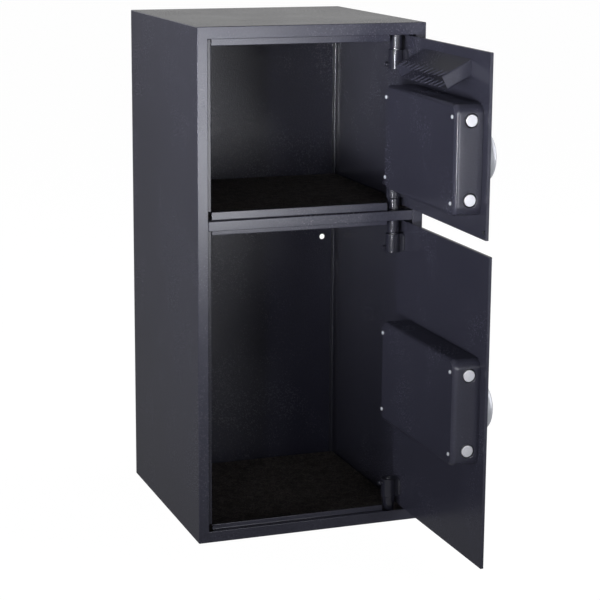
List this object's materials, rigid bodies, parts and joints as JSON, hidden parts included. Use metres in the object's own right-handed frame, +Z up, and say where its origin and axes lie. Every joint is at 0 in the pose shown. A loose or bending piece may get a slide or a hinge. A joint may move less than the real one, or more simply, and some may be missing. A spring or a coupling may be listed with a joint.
{
  "type": "depository safe",
  "caption": "Upright steel drop safe with an upper and a lower compartment, an electronic lock on each door, and a deposit slot with a toothed chute on the upper door.",
  "frame": {"origin": "middle of the underside of the cabinet", "axes": "+Z up, the doors' side faces -Y, the hinges are on the +X side"},
  "size_m": [0.3729, 0.6293, 0.762],
  "materials": {
    "black_paint": "black textured powder coat",
    "felt": "dark felt",
    "bright_steel": "turned bright steel",
    "zinc_steel": "zinc plated",
    "silver_plastic": "silver lacquer",
    "dark_rubber": "matt",
    "coil_plastic": "matt"
  },
  "bodies": {
    "cabinet": {"cabinet_shell": "black_paint", "back_panel": "black_paint", "divider_shelf": "black_paint", "head_stop": "black_paint", "sill_stop": "black_paint", "upper_side_stop": "black_paint", "lower_side_stop": "black_paint", "upper_floor_mat": "felt", "lower_floor_mat": "felt", "upper_hinge_post_top": "black_paint", "upper_hinge_post_bottom": "black_paint", "lower_hinge_post_top": "black_paint", "lower_hinge_post_bottom": "black_paint"},
    "upper_door_leaf": {"upper_door": "black_paint", "upper_hinge_barrel_top": "black_paint", "upper_hinge_barrel_bottom": "black_paint", "upper_hinge_pin_top": "zinc_steel", "upper_hinge_pin_bottom": "zinc_steel", "upper_lock_cover": "black_paint", "upper_solenoid": "coil_plastic", "upper_keypad_bezel": "silver_plastic", "deposit_chute": "black_paint"},
    "upper_bolt_work": {"upper_bolt_high": "bright_steel", "upper_bolt_low": "bright_steel", "upper_bolt_carriage": "zinc_steel"},
    "upper_turning_knob": {"upper_knob": "silver_plastic"},
    "upper_blocking_plunger": {"upper_plunger": "bright_steel"},
    "upper_key_0_cap": {"upper_key_0": "dark_rubber"},
    "upper_key_1_cap": {"upper_key_1": "dark_rubber"},
    "upper_key_2_cap": {"upper_key_2": "dark_rubber"},
    "upper_key_3_cap": {"upper_key_3": "dark_rubber"},
    "upper_key_4_cap": {"upper_key_4": "dark_rubber"},
    "upper_key_5_cap": {"upper_key_5": "dark_rubber"},
    "upper_key_6_cap": {"upper_key_6": "dark_rubber"},
    "upper_key_7_cap": {"upper_key_7": "dark_rubber"},
    "upper_key_8_cap": {"upper_key_8": "dark_rubber"},
    "upper_key_9_cap": {"upper_key_9": "dark_rubber"},
    "lower_door_leaf": {"lower_door": "black_paint", "lower_hinge_barrel_top": "black_paint", "lower_hinge_barrel_bottom": "black_paint", "lower_hinge_pin_top": "zinc_steel", "lower_hinge_pin_bottom": "zinc_steel", "lower_lock_cover": "black_paint", "lower_solenoid": "coil_plastic", "lower_keypad_bezel": "silver_plastic"},
    "lower_bolt_work": {"lower_bolt_high": "bright_steel", "lower_bolt_low": "bright_steel", "lower_bolt_carriage": "zinc_steel"},
    "lower_turning_knob": {"lower_knob": "silver_plastic"},
    "lower_blocking_plunger": {"lower_plunger": "bright_steel"},
    "lower_key_0_cap": {"lower_key_0": "dark_rubber"},
    "lower_key_1_cap": {"lower_key_1": "dark_rubber"},
    "lower_key_2_cap": {"lower_key_2": "dark_rubber"},
    "lower_key_3_cap": {"lower_key_3": "dark_rubber"},
    "lower_key_4_cap": {"lower_key_4": "dark_rubber"},
    "lower_key_5_cap": {"lower_key_5": "dark_rubber"},
    "lower_key_6_cap": {"lower_key_6": "dark_rubber"},
    "lower_key_7_cap": {"lower_key_7": "dark_rubber"},
    "lower_key_8_cap": {"lower_key_8": "dark_rubber"},
    "lower_key_9_cap": {"lower_key_9": "dark_rubber"}
  },
  "joints": [
    {"name": "upper_door_swing", "type": "hinge", "parent": "cabinet", "child": "upper_door_leaf", "pos_m": [0.136, -0.1575, 0.6153], "axis": [0, 0, 1], "range_deg": [-89.1, 5.9]},
    {"name": "upper_bolt_throw", "type": "slide", "parent": "upper_door_leaf", "child": "upper_bolt_work", "axis": [-0.0157, -0.9999, 0], "range_m": [0, 0.02]},
    {"name": "upper_knob_turn", "type": "hinge", "parent": "upper_door_leaf", "child": "upper_turning_knob", "pos_m": [0.15399, -0.3173, 0.596], "axis": [0.9999, -0.0157, 0], "range_deg": [0, 90]},
    {"name": "upper_plunger_drop", "type": "slide", "parent": "upper_door_leaf", "child": "upper_blocking_plunger", "axis": [0, 0, -1], "range_m": [0, 0.004], "stiffness_N_per_m": 100, "springref_m": -0.003},
    {"name": "upper_key_0_press", "type": "slide", "parent": "upper_door_leaf", "child": "upper_key_0_cap", "axis": [-0.9999, 0.0157, 0], "range_m": [0, 0.0015], "stiffness_N_per_m": 300},
    {"name": "upper_key_1_press", "type": "slide", "parent": "upper_door_leaf", "child": "upper_key_1_cap", "axis": [-0.9999, 0.0157, 0], "range_m": [0, 0.0015], "stiffness_N_per_m": 300},
    {"name": "upper_key_2_press", "type": "slide", "parent": "upper_door_leaf", "child": "upper_key_2_cap", "axis": [-0.9999, 0.0157, 0], "range_m": [0, 0.0015], "stiffness_N_per_m": 300},
    {"name": "upper_key_3_press", "type": "slide", "parent": "upper_door_leaf", "child": "upper_key_3_cap", "axis": [-0.9999, 0.0157, 0], "range_m": [0, 0.0015], "stiffness_N_per_m": 300},
    {"name": "upper_key_4_press", "type": "slide", "parent": "upper_door_leaf", "child": "upper_key_4_cap", "axis": [-0.9999, 0.0157, 0], "range_m": [0, 0.0015], "stiffness_N_per_m": 300},
    {"name": "upper_key_5_press", "type": "slide", "parent": "upper_door_leaf", "child": "upper_key_5_cap", "axis": [-0.9999, 0.0157, 0], "range_m": [0, 0.0015], "stiffness_N_per_m": 300},
    {"name": "upper_key_6_press", "type": "slide", "parent": "upper_door_leaf", "child": "upper_key_6_cap", "axis": [-0.9999, 0.0157, 0], "range_m": [0, 0.0015], "stiffness_N_per_m": 300},
    {"name": "upper_key_7_press", "type": "slide", "parent": "upper_door_leaf", "child": "upper_key_7_cap", "axis": [-0.9999, 0.0157, 0], "range_m": [0, 0.0015], "stiffness_N_per_m": 300},
    {"name": "upper_key_8_press", "type": "slide", "parent": "upper_door_leaf", "child": "upper_key_8_cap", "axis": [-0.9999, 0.0157, 0], "range_m": [0, 0.0015], "stiffness_N_per_m": 300},
    {"name": "upper_key_9_press", "type": "slide", "parent": "upper_door_leaf", "child": "upper_key_9_cap", "axis": [-0.9999, 0.0157, 0], "range_m": [0, 0.0015], "stiffness_N_per_m": 300},
    {"name": "lower_door_swing", "type": "hinge", "parent": "cabinet", "child": "lower_door_leaf", "pos_m": [0.136, -0.1575, 0.2422], "axis": [0, 0, 1], "range_deg": [-90.3, 4.7]},
    {"name": "lower_bolt_throw", "type": "slide", "parent": "lower_door_leaf", "child": "lower_bolt_work", "axis": [0.0052, -1, 0], "range_m": [0, 0.02]},
    {"name": "lower_knob_turn", "type": "hinge", "parent": "lower_door_leaf", "child": "lower_turning_knob", "pos_m": [0.15734, -0.31689, 0.2422], "axis": [1, 0.0052, 0], "range_deg": [0, 90]},
    {"name": "lower_plunger_drop", "type": "slide", "parent": "lower_door_leaf", "child": "lower_blocking_plunger", "axis": [0, 0, -1], "range_m": [0, 0.004], "stiffness_N_per_m": 100, "springref_m": -0.003},
    {"name": "lower_key_0_press", "type": "slide", "parent": "lower_door_leaf", "child": "lower_key_0_cap", "axis": [-1, -0.0052, 0], "range_m": [0, 0.0015], "stiffness_N_per_m": 300},
    {"name": "lower_key_1_press", "type": "slide", "parent": "lower_door_leaf", "child": "lower_key_1_cap", "axis": [-1, -0.0052, 0], "range_m": [0, 0.0015], "stiffness_N_per_m": 300},
    {"name": "lower_key_2_press", "type": "slide", "parent": "lower_door_leaf", "child": "lower_key_2_cap", "axis": [-1, -0.0052, 0], "range_m": [0, 0.0015], "stiffness_N_per_m": 300},
    {"name": "lower_key_3_press", "type": "slide", "parent": "lower_door_leaf", "child": "lower_key_3_cap", "axis": [-1, -0.0052, 0], "range_m": [0, 0.0015], "stiffness_N_per_m": 300},
    {"name": "lower_key_4_press", "type": "slide", "parent": "lower_door_leaf", "child": "lower_key_4_cap", "axis": [-1, -0.0052, 0], "range_m": [0, 0.0015], "stiffness_N_per_m": 300},
    {"name": "lower_key_5_press", "type": "slide", "parent": "lower_door_leaf", "child": "lower_key_5_cap", "axis": [-1, -0.0052, 0], "range_m": [0, 0.0015], "stiffness_N_per_m": 300},
    {"name": "lower_key_6_press", "type": "slide", "parent": "lower_door_leaf", "child": "lower_key_6_cap", "axis": [-1, -0.0052, 0], "range_m": [0, 0.0015], "stiffness_N_per_m": 300},
    {"name": "lower_key_7_press", "type": "slide", "parent": "lower_door_leaf", "child": "lower_key_7_cap", "axis": [-1, -0.0052, 0], "range_m": [0, 0.0015], "stiffness_N_per_m": 300},
    {"name": "lower_key_8_press", "type": "slide", "parent": "lower_door_leaf", "child": "lower_key_8_cap", "axis": [-1, -0.0052, 0], "range_m": [0, 0.0015], "stiffness_N_per_m": 300},
    {"name": "lower_key_9_press", "type": "slide", "parent": "lower_door_leaf", "child": "lower_key_9_cap", "axis": [-1, -0.0052, 0], "range_m": [0, 0.0015], "stiffness_N_per_m": 300}
  ],
  "couplings": [
    {"joint": "upper_knob_turn", "follows": "upper_bolt_throw", "rad_per_m": 78.5},
    {"joint": "lower_knob_turn", "follows": "lower_bolt_throw", "rad_per_m": 78.5}
  ]
}
